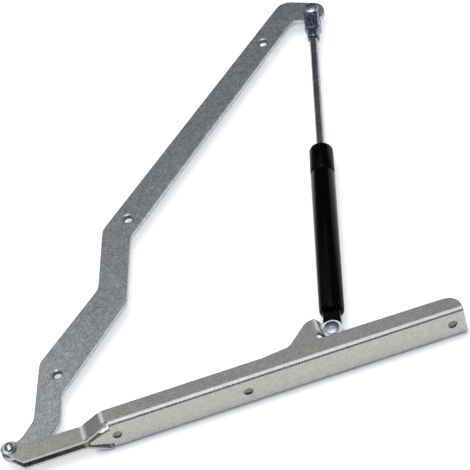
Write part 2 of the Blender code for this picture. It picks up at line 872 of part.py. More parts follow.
def piston_top():
    shoulder = tube_groove - tube_groove_half_width - piston_from_groove
    return shoulder - play - piston_washer_thickness - play


def nut_bottom():
    return piston_top() - piston_length - play - piston_washer_thickness - play - nut_height


def make_piston_pack():
    """On the rod's spigot: front washer, piston with its ring, back washer and nut."""
    hole = spigot_radius + play
    top = piston_top()
    low = top - piston_length
    front_low = top + play
    profile = ring_profile(hole, piston_front_washer_radius, front_low, front_low + piston_washer_thickness)
    add_ring("piston_front_washer", profile, top_origin, inner_steel, inner_segments)

    middle = (top + low) / 2
    half = piston_ring_height / 2
    body = loose_radius - play
    floor = loose_radius - piston_ring_depth - play
    profile = [
        (hole, low),
        (body - edge_break, low),
        (body, low + edge_break),
        (body, middle - half - play),
        (floor, middle - half - play),
        (floor, middle + half + play),
        (body, middle + half + play),
        (body, top - edge_break),
        (body - edge_break, top),
        (hole, top),
    ]
    add_ring("piston", profile, top_origin, piston_plastic, inner_segments)
    profile = ring_profile(loose_radius - piston_ring_depth, loose_radius, middle - half, middle + half)
    add_ring("piston_ring", profile, top_origin, rubber, inner_segments)

    back_high = low - play
    back_low = back_high - piston_washer_thickness
    profile = ring_profile(hole, piston_back_washer_radius, back_low, back_high)
    add_ring("piston_back_washer", profile, top_origin, inner_steel, inner_segments)

    nut_high = back_low - play
    hexagon = nut_half_flats / math.cos(math.pi / 6)
    solid = [(0, nut_bottom()), (hexagon, nut_bottom()), (hexagon, nut_high), (0, nut_high)]
    parts = turned(solid, 6, strut_frame)
    nut = place("piston_nut", parts, top_origin, inner_steel)
    reach = nut_bottom() - cut_overrun
    bore = [(0, reach), (hole, reach), (hole, nut_high + cut_overrun), (0, nut_high + cut_overrun)]
    cut(nut, place("nut_bore_cutter", turned(bore, inner_segments, strut_frame), top_origin, None))


make_rail()
make_arm()
make_main_rivet()
make_lower_rivet()
make_top_rivet()
make_tube()
make_rod()
make_fork()
make_eye()
make_plug()
make_seal_pack()
make_piston_pack()
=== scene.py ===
"""Looks of the gas strut lift hinge: zinc plated rail and arm, bright rivets, black gas strut."""

import json
import math

import bpy
from mathutils import Matrix, Vector


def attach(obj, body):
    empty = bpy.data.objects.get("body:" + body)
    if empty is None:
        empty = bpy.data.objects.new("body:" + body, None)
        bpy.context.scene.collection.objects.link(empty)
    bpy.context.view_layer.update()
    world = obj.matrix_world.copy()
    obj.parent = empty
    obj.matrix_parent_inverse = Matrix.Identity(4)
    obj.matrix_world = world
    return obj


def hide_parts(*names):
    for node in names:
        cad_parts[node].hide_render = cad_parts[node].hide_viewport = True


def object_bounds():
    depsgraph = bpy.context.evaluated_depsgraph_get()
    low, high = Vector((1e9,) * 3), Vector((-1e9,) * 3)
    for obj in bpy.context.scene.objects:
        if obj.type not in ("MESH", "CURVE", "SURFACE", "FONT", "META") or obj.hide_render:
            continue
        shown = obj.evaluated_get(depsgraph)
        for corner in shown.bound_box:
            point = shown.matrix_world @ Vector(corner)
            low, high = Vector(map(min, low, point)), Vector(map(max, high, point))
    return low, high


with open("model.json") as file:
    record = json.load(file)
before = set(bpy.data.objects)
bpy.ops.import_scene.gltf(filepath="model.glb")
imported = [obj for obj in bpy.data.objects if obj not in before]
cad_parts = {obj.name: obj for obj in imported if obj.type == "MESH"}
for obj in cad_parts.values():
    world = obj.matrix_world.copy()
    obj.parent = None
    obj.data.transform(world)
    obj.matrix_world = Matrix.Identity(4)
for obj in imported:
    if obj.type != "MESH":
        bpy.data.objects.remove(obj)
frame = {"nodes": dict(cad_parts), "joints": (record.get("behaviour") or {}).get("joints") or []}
cad_low, cad_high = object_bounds()
nodes = frame["nodes"]
joints = {joint["name"]: joint for joint in frame["joints"]}

MM = 0.001

# Camera: the photograph's view, fitted to the rail, the flat arm and the strut
PHOTO_WIDTH = 470
FOCAL_PIXELS = 3115.74
SENSOR_WIDTH = 36.0
CAMERA_PLACE = (-0.1009, -1.7027, 2.0371)
CAMERA_TURN_DEG = (41.648, 10.681, -14.833)

# Edge rounding of the punched and machined pieces
PUNCHED_EDGE = 0.60 * MM
MACHINED_EDGE = 0.30 * MM
EDGE_SEGMENTS = 2
MERGE_DISTANCE = 0.005 * MM
FLAT_ANGLE_DEG = 1.0
SMOOTH_ANGLE_DEG = 38

# Pivots: the joints' places, and the lower rivet's, which is no joint of its own
main_pivot = Vector(joints["arm_fold"]["pos_m"])
top_pivot = Vector(joints["strut_swing"]["pos_m"])
toward_tube = Vector(joints["strut_stroke"]["axis"])
lower_pivot = Vector((50.0 * MM, 32.1 * MM, 0))

# Rivets: the seats of their ends from the middle plane, and the ends' own sizes
SHANK_RADIUS = 4.0 * MM
MAIN_SEAT = 5.6 * MM
MAIN_DOME_RADIUS = 6.1 * MM
MAIN_DOME_HEIGHT = 5.6 * MM
MAIN_TAIL_RADIUS = 5.8 * MM
MAIN_TAIL_RIM = 1.6 * MM
MAIN_TAIL_HEIGHT = 2.6 * MM
LOWER_SEAT = 8.3 * MM
LOWER_SHANK_END = 5.5 * MM
LOWER_HEAD_RADIUS = 6.8 * MM
TOP_SEAT = 6.7 * MM
TOP_HEAD_RADIUS = 6.4 * MM
LOW_HEAD_RIM = 1.3 * MM
LOW_HEAD_HEIGHT = 2.2 * MM
HEAD_CORNER = 0.5 * MM

# Strut: places along it are taken from the lower pivot, as the solids' are
TUBE_RADIUS = 11.0 * MM
TUBE_WALL = 1.5 * MM
TUBE_START = 22.7 * MM
TUBE_END = 220.0 * MM
FOOT_ROUND = 4.5 * MM
SHOULDER_ROUND = 5.0 * MM
FOOT_MOUTH = 4.9 * MM
TOP_MOUTH = 5.6 * MM
CRIMP_PLACE = 188.0 * MM
CRIMP_DEPTH = 1.0 * MM
CRIMP_HALF_WIDTH = 1.6 * MM
BEAD_PLACE = 28.2 * MM
BEAD_DEPTH = 0.35 * MM
BEAD_HALF_WIDTH = 0.7 * MM

# Fineness of the turned pieces: sides round them, and steps along their rounds
TURNED_SIDES = 96
CORNER_STEPS = 3
CROWN_STEPS = 7
DOME_STEPS = 14
OUTSIDE_STEPS = 10
INSIDE_STEPS = 6
CRIMP_STEPS = 10
BEAD_STEPS = 6

# Where the crowns and the dome stop, in degrees: a tiny flat closes them at the middle
CROWN_POLE_DEG = 89
DOME_POLE_DEG = 89.2

# Painted highlights on the bend lines of the rail's sheet: x, half width of the highlight, and the
# height it starts at
BEND_HIGHLIGHT_LINES = (
    (-161.4 * MM, 2.8 * MM, 4.6 * MM),
    (-179.8 * MM, 3.0 * MM, 2.0 * MM),
    (38.0 * MM, 2.4 * MM, 27.0 * MM),
    (42.4 * MM, 1.6 * MM, 27.0 * MM),
)
# Pressed lugs: the level they lie below, and how far their painted highlight reaches
LUG_LEVEL = 10.0 * MM
LUG_HIGHLIGHT_REACH = 9.0 * MM
LUG_HIGHLIGHT_FADE = 1.35 * MM
# Screw holes: 1 for each axis that counts in their plane, and their centres
WEB_HOLES = (
    (1, 0, 1),
    ((-152.5 * MM, 0, 0), (-35.1 * MM, 0, 0), (148.3 * MM, 0, 0)),
)
ARM_HOLES = (
    (1, 1, 0),
    ((-186.9 * MM, 84.5 * MM, 0), (-86.4 * MM, 235.7 * MM, 0), (85.8 * MM, 398.4 * MM, 0)),
)
HOLE_RADIUS = 4.0 * MM
HOLE_FADE = 0.2 * MM


# Modelling

def deselect():
    bpy.ops.object.select_all(action="DESELECT")


def activate(piece):
    deselect()
    piece.select_set(True)
    bpy.context.view_layer.objects.active = piece


def apply_modifiers(piece):
    activate(piece)
    for step in list(piece.modifiers):
        bpy.ops.object.modifier_apply(modifier=step.name)


def settle(piece):
    """Put the piece's place into its mesh, with outward faces and smooth rounds."""
    activate(piece)
    bpy.ops.object.transform_apply(location=True, rotation=True, scale=True)
    bpy.ops.object.mode_set(mode="EDIT")
    bpy.ops.mesh.select_all(action="SELECT")
    bpy.ops.mesh.remove_doubles(threshold=MERGE_DISTANCE)
    bpy.ops.mesh.normals_make_consistent(inside=False)
    bpy.ops.object.mode_set(mode="OBJECT")
    bpy.ops.object.shade_smooth_by_angle(angle=math.radians(SMOOTH_ANGLE_DEG))


def fit_in(piece, look, body, replaced):
    """Give a new piece its look and its place in the mechanism, and hide the node it replaces."""
    piece.data.materials.clear()
    piece.data.materials.append(look)
    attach(piece, body)
    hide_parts(replaced)


def refined_copy(node_name, piece_name, edge):
    """A node's own form with merged faces, rounded edges and clean shading."""
    piece = nodes[node_name].copy()
    piece.data = nodes[node_name].data.copy()
    for key in [key for key in piece.keys() if key.startswith("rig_")]:
        del piece[key]
    piece.name = piece_name
    piece.parent = None
    bpy.context.scene.collection.objects.link(piece)
    activate(piece)
    if piece.data.has_custom_normals:
        bpy.ops.mesh.customdata_custom_splitnormals_clear()
    bpy.ops.object.mode_set(mode="EDIT")
    bpy.ops.mesh.select_all(action="SELECT")
    bpy.ops.mesh.remove_doubles(threshold=MERGE_DISTANCE)
    bpy.ops.mesh.dissolve_limited(angle_limit=math.radians(FLAT_ANGLE_DEG))
    bpy.ops.object.mode_set(mode="OBJECT")
    rounding = piece.modifiers.new("Edge rounding", "BEVEL")
    rounding.width = edge
    rounding.segments = EDGE_SEGMENTS
    rounding.limit_method = "ANGLE"
    rounding.angle_limit = math.radians(SMOOTH_ANGLE_DEG)
    rounding.use_clamp_overlap = False
    apply_modifiers(piece)
    bpy.ops.object.shade_smooth_by_angle(angle=math.radians(SMOOTH_ANGLE_DEG))
    weighted = piece.modifiers.new("Flat faces stay flat", "WEIGHTED_NORMAL")
    weighted.keep_sharp = True
    apply_modifiers(piece)
    return piece


def turned(name, profile, axis_frame, closed=False):
    """A turned piece: a circle extruded and resized along a radius, height profile."""
    deselect()
    first_radius, first_height = profile[0]
    bpy.ops.mesh.primitive_circle_add(
        vertices=TURNED_SIDES, radius=first_radius, fill_type="NOTHING",
        location=(0, 0, first_height),
    )
    piece = bpy.context.active_object
    piece.name = name
    bpy.ops.object.transform_apply(location=True)
    bpy.ops.object.mode_set(mode="EDIT")
    bpy.ops.mesh.select_all(action="SELECT")
    radius, height = first_radius, first_height
    for next_radius, next_height in profile[1:]:
        bpy.ops.mesh.extrude_region_move(
            TRANSFORM_OT_translate={"value": (0, 0, next_height - height)}
        )
        scale = next_radius / radius
        bpy.ops.transform.resize(
            value=(scale, scale, 1), center_override=(0, 0, next_height),
        )
        radius, height = next_radius, next_height
    if closed:
        bpy.ops.mesh.select_all(action="DESELECT")
        bpy.ops.mesh.select_mode(type="EDGE")
        bpy.ops.mesh.select_non_manifold()
        bpy.ops.mesh.bridge_edge_loops()
    else:
        bpy.ops.mesh.edge_face_add()
        bpy.ops.mesh.select_all(action="DESELECT")
        bpy.ops.mesh.select_mode(type="EDGE")
        bpy.ops.mesh.select_non_manifold()
        bpy.ops.mesh.edge_face_add()
    bpy.ops.object.mode_set(mode="OBJECT")
    piece.matrix_world = axis_frame
    settle(piece)
    return piece


def arc(centre, radius, start_deg, end_deg, steps):
    """Radius, height points on an arc, both ends included."""
    points = []
    for i in range(steps + 1):
        angle = math.radians(start_deg + (end_deg - start_deg) * i / steps)
        points.append((centre[0] + radius * math.cos(angle), centre[1] + radius * math.sin(angle)))
    return points


def frame_along(origin, direction, side):
    """A frame whose Z runs along the direction from the origin, with X near the side."""
    z = direction.normalized()
    y = z.cross(side).normalized()
    x = y.cross(z)
    made = Matrix((x, y, z)).transposed().to_4x4()
    made.translation = origin
    return made


# Materials

# Painted highlight along the press bends, and painted shade inside the punched holes
BEND_HIGHLIGHT_COLOUR = "#f1f1ee"
BEND_HIGHLIGHT_METALLIC = 0.25
BEND_HIGHLIGHT_ROUGHNESS = 0.45
HOLE_SHADE_COLOUR = "#3d3a37"
HOLE_SHADE_SHARE = 0.8

# Plated steel is not all mirror: part of its light is the plating's own grey
ZINC_METALLIC = 0.85
# The real grain is well under half a millimetre: it is drawn as coarse as it needs to show
ZINC_GRAIN = 1.0 * MM
ZINC_GRAIN_BUMP = 0.6
BLOTCH_SHARE = 0.25

# The rod's grinding streaks are this many times as long as they are wide
STREAK_LENGTH = 25

# Nearly all noise values lie in this span
NOISE_SPAN = {"From Min": 0.3, "From Max": 0.7}


def linear(colour):
    """An sRGB hex colour as linear red, green and blue, with full alpha."""
    parts = [int(colour[i:i + 2], 16) / 255 for i in (1, 3, 5)]
    return tuple(p / 12.92 if p <= 0.04045 else ((p + 0.055) / 1.055) ** 2.4 for p in parts) + (1,)


def give(tree, node, values):
    """Set a node's inputs; a value that is a socket is linked."""
    for key, value in values.items():
        if isinstance(value, bpy.types.NodeSocket):
            tree.links.new(value, node.inputs[key])
        else:
            node.inputs[key].default_value = value


def add(tree, kind, values=None, stops=(), **settings):
    """One node with its settings and inputs, and a colour ramp's position, colour stops."""
    node = tree.nodes.new(kind)
    for key, value in settings.items():
        setattr(node, key, value)
    give(tree, node, values or {})
    if stops:
        elements = node.color_ramp.elements
        elements.remove(elements[1])
        elements[0].position = stops[0][0]
        elements[0].color = stops[0][1]
        for position, colour in stops[1:]:
            elements.new(position).color = colour
    return node


def new_material(name):
    made = bpy.data.materials.new(name)
    made.use_nodes = True
    tree = made.node_tree
    shader = tree.nodes["Principled BSDF"]
    place = add(tree, "ShaderNodeTexCoord").outputs["Object"]
    return made, tree, shader, place


def painted_bend_highlights(tree, place):
    """Painted highlight mask: 1 on each bend line of the leaves and lugs, and on the pressed lugs
    round the lower pivot.
    """
    parts = add(tree, "ShaderNodeSeparateXYZ", {"Vector": place})
    x, y, z = (parts.outputs[axis] for axis in "XYZ")
    marks = 0
    for line, half_width, start in BEND_HIGHLIGHT_LINES:
        away = add(tree, "ShaderNodeMath", {0: x, 1: line}, operation="SUBTRACT").outputs[0]
        away = add(tree, "ShaderNodeMath", {0: away}, operation="ABSOLUTE").outputs[0]
        near = add(
            tree, "ShaderNodeMapRange",
            {"Value": away, "From Min": 0, "From Max": half_width, "To Min": 1, "To Max": 0},
        ).outputs["Result"]
        above = add(tree, "ShaderNodeMath", {0: y, 1: start}, operation="GREATER_THAN").outputs[0]
        near = add(tree, "ShaderNodeMath", {0: near, 1: above}, operation="MULTIPLY").outputs[0]
        marks = add(tree, "ShaderNodeMath", {0: marks, 1: near}, operation="MAXIMUM").outputs[0]
    level = add(tree, "ShaderNodeMath", {0: z}, operation="ABSOLUTE").outputs[0]
    pressed_in = add(
        tree, "ShaderNodeMath", {0: level, 1: LUG_LEVEL}, operation="LESS_THAN",
    ).outputs[0]
    flat = add(tree, "ShaderNodeCombineXYZ", {"X": x, "Y": y}).outputs["Vector"]
    away = add(
        tree, "ShaderNodeVectorMath", {0: flat, 1: lower_pivot}, operation="DISTANCE",
    ).outputs["Value"]
    near = add(
        tree, "ShaderNodeMapRange",
        {
            "Value": away, "From Min": LUG_HIGHLIGHT_REACH, "From Max": LUG_HIGHLIGHT_REACH + LUG_HIGHLIGHT_FADE,
            "To Min": 1, "To Max": 0,
        },
    ).outputs["Result"]
    lug = add(tree, "ShaderNodeMath", {0: near, 1: pressed_in}, operation="MULTIPLY").outputs[0]
    return add(tree, "ShaderNodeMath", {0: marks, 1: lug}, operation="MAXIMUM").outputs[0]


def painted_hole_shade(tree, place, holes):
    """Painted shade: its share inside the punched holes of a flat stretch."""
    across, centres = holes
    flat = add(
        tree, "ShaderNodeVectorMath", {0: place, 1: across}, operation="MULTIPLY",
    ).outputs["Vector"]
    shade = 0
    for centre in centres:
        away = add(
            tree, "ShaderNodeVectorMath", {0: flat, 1: centre}, operation="DISTANCE",
        ).outputs["Value"]
        near = add(
            tree, "ShaderNodeMapRange",
            {
                "Value": away, "From Min": HOLE_RADIUS, "From Max": HOLE_RADIUS + HOLE_FADE,
                "To Min": HOLE_SHADE_SHARE, "To Max": 0,
            },
        ).outputs["Result"]
        shade = add(tree, "ShaderNodeMath", {0: shade, 1: near}, operation="MAXIMUM").outputs[0]
    return shade


def plated_zinc(name, colours, relief, roughness, blotch_size, holes, bend_highlights=False):
    """Bright zinc plating on rolled steel: a fine grey speckle over softer, larger blotches."""
    made, tree, shader, place = new_material(name)
    speckle = add(
        tree, "ShaderNodeTexNoise",
        {"Vector": place, "Scale": 1 / ZINC_GRAIN, "Detail": 2.5, "Roughness": 0.7, "W": 0},
        noise_dimensions="4D",
    ).outputs["Fac"]
    blotch = add(
        tree, "ShaderNodeTexNoise",
        {"Vector": place, "Scale": 1 / blotch_size, "Detail": 4, "Roughness": 0.6, "W": 3},
        noise_dimensions="4D",
    ).outputs["Fac"]
    mixed = add(
        tree, "ShaderNodeMix", {"Factor": BLOTCH_SHARE, "A": speckle, "B": blotch},
        data_type="FLOAT",
    ).outputs["Result"]
    dark, middle, light = (linear(colour) for colour in colours)
    colour = add(
        tree, "ShaderNodeValToRGB", {"Fac": mixed},
        stops=[(0.36, dark), (0.50, middle), (0.64, light)],
    ).outputs["Color"]
    # Painted shade inside the punched holes: a dark brownish grey
    colour = add(
        tree, "ShaderNodeMix",
        {"Factor": painted_hole_shade(tree, place, holes), "A": colour, "B": linear(HOLE_SHADE_COLOUR)},
        data_type="RGBA",
    ).outputs["Result"]
    rough = add(
        tree, "ShaderNodeMapRange",
        {**NOISE_SPAN, "Value": speckle, "To Min": roughness - 0.04, "To Max": roughness + 0.06},
    ).outputs["Result"]
    metallic = ZINC_METALLIC
    # Painted highlight: nearly white, less metallic and rougher on the bend lines and pressed lugs
    if bend_highlights:
        marks = painted_bend_highlights(tree, place)
        colour = add(
            tree, "ShaderNodeMix", {"Factor": marks, "A": colour, "B": linear(BEND_HIGHLIGHT_COLOUR)},
            data_type="RGBA",
        ).outputs["Result"]
        rough = add(
            tree, "ShaderNodeMix", {"Factor": marks, "A": rough, "B": BEND_HIGHLIGHT_ROUGHNESS},
            data_type="FLOAT",
        ).outputs["Result"]
        metallic = add(
            tree, "ShaderNodeMapRange",
            {"Value": marks, "To Min": ZINC_METALLIC, "To Max": BEND_HIGHLIGHT_METALLIC},
        ).outputs["Result"]
    grain = add(
        tree, "ShaderNodeBump",
        {"Height": speckle, "Distance": relief, "Strength": ZINC_GRAIN_BUMP},
    ).outputs["Normal"]
    give(tree, shader, {
        "Base Color": colour, "Metallic": metallic, "Roughness": rough, "Normal": grain,
    })
    return made


def plated_rivet(name):
    """Cold headed rivet steel under bright plating: smooth, with faint soft dents."""
    made, tree, shader, place = new_material(name)
    soft = add(
        tree, "ShaderNodeTexNoise",
        {"Vector": place, "Scale": 1 / (4 * MM), "Detail": 2, "Roughness": 0.6, "W": 0},
        noise_dimensions="4D",
    ).outputs["Fac"]
    colour = add(
        tree, "ShaderNodeValToRGB", {"Fac": soft},
        stops=[(0.3, linear("#a6b0bc")), (0.7, linear("#d6dee7"))],
    ).outputs["Color"]
    rough = add(
        tree, "ShaderNodeMapRange",
        {**NOISE_SPAN, "Value": soft, "To Min": 0.20, "To Max": 0.32},
    ).outputs["Result"]
    dents = add(
        tree, "ShaderNodeBump", {"Height": soft, "Distance": 0.25 * MM, "Strength": 0.25},
    ).outputs["Normal"]
    give(tree, shader, {
        "Base Color": colour, "Metallic": 1, "Roughness": rough, "Normal": dents,
    })
    return made


def black_tube_paint(name):
    """Black stove enamel on a drawn tube: deep and soft, with a trace of orange peel."""
    made, tree, shader, place = new_material(name)
    peel = add(
        tree, "ShaderNodeTexNoise",
        {"Vector": place, "Scale": 1 / (1.6 * MM), "Detail": 2, "Roughness": 0.6, "W": 0},
        noise_dimensions="4D",
    ).outputs["Fac"]
    cloud = add(
        tree, "ShaderNodeTexNoise",
        {"Vector": place, "Scale": 1 / (18 * MM), "Detail": 2, "Roughness": 0.6, "W": 1},
        noise_dimensions="4D",
    ).outputs["Fac"]
    colour = add(
        tree, "ShaderNodeValToRGB", {"Fac": cloud},
        stops=[(0.35, linear("#010101")), (0.7, linear("#040404"))],
    ).outputs["Color"]
    rough = add(
        tree, "ShaderNodeMapRange",
        {**NOISE_SPAN, "Value": peel, "To Min": 0.17, "To Max": 0.24},
    ).outputs["Result"]
    skin = add(
        tree, "ShaderNodeBump", {"Height": peel, "Distance": 0.02 * MM, "Strength": 0.15},
    ).outputs["Normal"]
    give(tree, shader, {
        "Base Color": colour, "Roughness": rough, "Specular IOR Level": 0.07, "Normal": skin,
    })
    return made


def ground_rod(name):
    """Drawn, ground and nitrided rod: dark grey, with fine streaks along its length."""
    made, tree, shader, place = new_material(name)
    along = add(
        tree, "ShaderNodeMapping",
        {
            "Vector": place,
            "Rotation": (0, 0, -math.atan2(toward_tube.y, toward_tube.x)),
            "Scale": (1 / STREAK_LENGTH, 1, 1),
        },
    ).outputs["Vector"]
    streaks = add(
        tree, "ShaderNodeTexNoise",
        {"Vector": along, "Scale": 1 / (1.3 * MM), "Detail": 3, "Roughness": 0.6, "W": 0},
        noise_dimensions="4D",
    ).outputs["Fac"]
    colour = add(
        tree, "ShaderNodeValToRGB", {"Fac": streaks},
        stops=[(0.35, linear("#85858a")), (0.65, linear("#c2c2c8"))],
    ).outputs["Color"]
    rough = add(
        tree, "ShaderNodeMapRange",
        {**NOISE_SPAN, "Value": streaks, "To Min": 0.20, "To Max": 0.28},
    ).outputs["Result"]
    give(tree, shader, {"Base Color": colour, "Metallic": 1, "Roughness": rough})
    return made


def machined_fork(name):
    """Milled and turned fork under bluish zinc, with tool marks that sparkle."""
    made, tree, shader, place = new_material(name)
    marks = add(
        tree, "ShaderNodeTexNoise",
        {"Vector": place, "Scale": 1 / (1.2 * MM), "Detail": 4, "Roughness": 0.7, "W": 0},
        noise_dimensions="4D",
    ).outputs["Fac"]
    colour = add(
        tree, "ShaderNodeValToRGB", {"Fac": marks},
        stops=[(0.34, linear("#3a4252")), (0.52, linear("#737d90")), (0.64, linear("#e2e7f0"))],
    ).outputs["Color"]
    rough = add(
        tree, "ShaderNodeMapRange",
        {**NOISE_SPAN, "Value": marks, "To Min": 0.18, "To Max": 0.40},
    ).outputs["Result"]
    cuts = add(
        tree, "ShaderNodeBump", {"Height": marks, "Distance": 0.12 * MM, "Strength": 0.5},
    ).outputs["Normal"]
    give(tree, shader, {
        "Base Color": colour, "Metallic": 1, "Roughness": rough, "Normal": cuts,
    })
    return made


def plain_finish(name, dark, light, metallic, roughness, grain):
    """A simple two-tone finish for the pieces inside the strut."""
    made, tree, shader, place = new_material(name)
    grains = add(
        tree, "ShaderNodeTexNoise",
        {"Vector": place, "Scale": 1 / grain, "Detail": 3, "Roughness": 0.6, "W": 0},
        noise_dimensions="4D",
    ).outputs["Fac"]
    colour = add(
        tree, "ShaderNodeValToRGB", {"Fac": grains},
        stops=[(0.3, linear(dark)), (0.7, linear(light))],
    ).outputs["Color"]
    rough = add(
        tree, "ShaderNodeMapRange",
        {**NOISE_SPAN, "Value": grains, "To Min": roughness - 0.05, "To Max": roughness + 0.05},
    ).outputs["Result"]
    give(tree, shader, {"Base Color": colour, "Metallic": metallic, "Roughness": rough})
    return made


# Folded sheet: soft salt and pepper grain, with a nearly white painted highlight on the bends and
# lugs
zinc_sheet = plated_zinc(
    "zinc plated sheet steel", ("#9e9b96", "#b5b1ab", "#cdc9c3"),
    relief=0.17 * MM, roughness=0.26, blotch_size=6 * MM, holes=WEB_HOLES, bend_highlights=True,
)
# Flat bar: an even, slightly bluish grey with more contrast in its grain than the sheet
zinc_bar = plated_zinc(
    "zinc plated flat bar", ("#87888a", "#b5b6b7", "#e3e4e4"),
    relief=0.08 * MM, roughness=0.30, blotch_size=5 * MM, holes=ARM_HOLES,
)
# Rivets: smooth bluish mirrors, a touch dented, the brightest points of the hinge
rivet_plating = plated_rivet("bright plated rivet steel")
# Tube and eye: the blackest part, with soft grey edges and no sharp mirror image
tube_paint = black_tube_paint("gloss black stove enamel")
# Rod: dark streaks beside one nearly white band; they are drawn coarser than real ones, to show
rod_finish = ground_rod("ground nitrided rod steel")
# Fork: navy grey that glitters with milling marks, drawn coarser than real ones, to show
fork_plating = machined_fork("bluish zinc on machined steel")
# Plug, washers and nut: plain bright turned steel
inner_steel = plain_finish("turned free cutting steel", "#8e8f91", "#b2b3b5", 1.0, 0.32, 2 * MM)
# Rod guide: warm and matt, with the fine pores of pressed powder
guide_bronze = plain_finish("sintered bronze", "#7d5a2c", "#a87c42", 1.0, 0.42, 0.8 * MM)
# Seals: matt black with a dry bloom
seal_rubber = plain_finish("black nitrile rubber", "#0b0b0b", "#141414", 0.0, 0.62, 1.5 * MM)
# Piston: moulded, near black, with a waxy sheen
piston_plastic = plain_finish("dark acetal", "#17171a", "#222226", 0.0, 0.45, 3 * MM)


# Pieces

def crowned_head(radius, seat, rim, height):
    """A low domed head from its seat, up its rim and a small corner, to near its middle."""
    inner = radius - HEAD_CORNER
    rise = height - rim
    bow = (inner * inner + rise * rise) / (2 * rise)
    start = math.degrees(math.acos(inner / bow))
    corner_centre = (inner, seat + rim - HEAD_CORNER)
    points = [(radius, seat)]
    points += arc(corner_centre, HEAD_CORNER, 0, (90 + start) / 2, CORNER_STEPS)
    points += arc((0, seat + height - bow), bow, start, CROWN_POLE_DEG, CROWN_STEPS)[1:]
    return points


def main_rivet():
    """One rivet: a high mirror dome on the near leaf, a flat snapped tail on the far one."""
    radius, height = MAIN_DOME_RADIUS, MAIN_DOME_HEIGHT
    bow = (radius * radius + height * height) / (2 * height)
    start = math.degrees(math.asin((bow - height) / bow))
    dome = arc((0, MAIN_SEAT + height - bow), bow, start, DOME_POLE_DEG, DOME_STEPS)
    tail = crowned_head(MAIN_TAIL_RADIUS, MAIN_SEAT, MAIN_TAIL_RIM, MAIN_TAIL_HEIGHT)
    profile = [(r, -h) for r, h in reversed(tail)]
    profile += [(SHANK_RADIUS, -MAIN_SEAT), (SHANK_RADIUS, MAIN_SEAT)] + dome
    piece = turned("main_rivet", profile, Matrix.Translation(main_pivot))
    fit_in(piece, rivet_plating, "rail", "main_pivot_rivet")


def lower_rivet_half(name, node_name, side):
    """One end of the lower rivet, in its own lug."""
    half = [(SHANK_RADIUS, LOWER_SHANK_END), (SHANK_RADIUS, LOWER_SEAT)]
    half += crowned_head(LOWER_HEAD_RADIUS, LOWER_SEAT, LOW_HEAD_RIM, LOW_HEAD_HEIGHT)
    profile = [(r, h * side) for r, h in half]
    piece = turned(name, profile, Matrix.Translation(lower_pivot))
    fit_in(piece, rivet_plating, "rail", node_name)


def top_rivet():
    """One rivet with the same low head at both ends, through the fork and the arm."""
    head = crowned_head(TOP_HEAD_RADIUS, TOP_SEAT, LOW_HEAD_RIM, LOW_HEAD_HEIGHT)
    profile = [(r, -h) for r, h in reversed(head)]
    profile += [(SHANK_RADIUS, -TOP_SEAT), (SHANK_RADIUS, TOP_SEAT)] + head
    piece = turned("top_rivet", profile, Matrix.Translation(top_pivot))
    fit_in(piece, rivet_plating, "rod", "top_pivot_rivet")


def smooth_groove(place, half_width, depth, steps):
    """A rounded groove round the tube: radius, height points by rising height."""
    points = []
    for i in range(steps + 1):
        share = i / steps
        lean = (1 - math.cos(2 * math.pi * share)) / 2
        points.append((TUBE_RADIUS - depth * lean, place + half_width * (2 * share - 1)))
    return points


def pressure_tube():
    """The drawn tube: closed in round at both ends, with a crimp over the seal pack."""
    foot = (TUBE_RADIUS - FOOT_ROUND, TUBE_START + FOOT_ROUND)
    shoulder = (TUBE_RADIUS - SHOULDER_ROUND, TUBE_END - SHOULDER_ROUND)
    crimp = smooth_groove(CRIMP_PLACE, CRIMP_HALF_WIDTH, CRIMP_DEPTH, CRIMP_STEPS)
    bead = smooth_groove(BEAD_PLACE, BEAD_HALF_WIDTH, BEAD_DEPTH, BEAD_STEPS)
    outside = [(FOOT_MOUTH, TUBE_START)]
    outside += arc(foot, FOOT_ROUND, -90, 0, OUTSIDE_STEPS)
    outside += bead + crimp
    outside += arc(shoulder, SHOULDER_ROUND, 0, 90, OUTSIDE_STEPS)
    outside.append((TOP_MOUTH, TUBE_END))
    inside = [(TOP_MOUTH, TUBE_END - TUBE_WALL)]
    inside += arc(shoulder, SHOULDER_ROUND - TUBE_WALL, 90, 0, INSIDE_STEPS)
    inside += [(r - TUBE_WALL, h) for r, h in reversed(crimp)]
    inside += arc(foot, FOOT_ROUND - TUBE_WALL, 0, -90, INSIDE_STEPS)
    inside.append((FOOT_MOUTH, TUBE_START + TUBE_WALL))
    strut_frame = frame_along(lower_pivot, -toward_tube, Vector((0, 0, 1)))
    piece = turned("pressure_tube", outside + inside, strut_frame, closed=True)
    fit_in(piece, tube_paint, "tube", "strut_tube")


fit_in(
    refined_copy("base_rail", "folded_rail", PUNCHED_EDGE),
    zinc_sheet, "rail", "base_rail",
)
fit_in(
    refined_copy("lift_arm", "punched_arm", PUNCHED_EDGE),
    zinc_bar, "arm", "lift_arm",
)
main_rivet()
lower_rivet_half("lower_rivet_head", "lower_pivot_rivet_head", 1)
lower_rivet_half("lower_rivet_tail", "lower_pivot_rivet_tail", -1)
top_rivet()
pressure_tube()
fit_in(
    refined_copy("rod_end_fork", "milled_fork", MACHINED_EDGE),
    fork_plating, "rod", "rod_end_fork",
)
fit_in(
    refined_copy("tube_end_eye", "forged_eye", MACHINED_EDGE),
    tube_paint, "tube", "tube_end_eye",
)

# Nodes whose own solids stay
for node_name, look in {
    "strut_rod": rod_finish,
    "tube_end_plug": inner_steel,
    "plug_seal_ring": seal_rubber,
    "rod_guide": guide_bronze,
    "rod_seal": seal_rubber,
    "rod_wiper": seal_rubber,
    "seal_washer": inner_steel,
    "piston": piston_plastic,
    "piston_ring": seal_rubber,
    "piston_front_washer": inner_steel,
    "piston_back_washer": inner_steel,
    "piston_nut": inner_steel,
}.items():
    node = nodes[node_name]
    node.data.materials.clear()
    node.data.materials.append(look)


# Studio

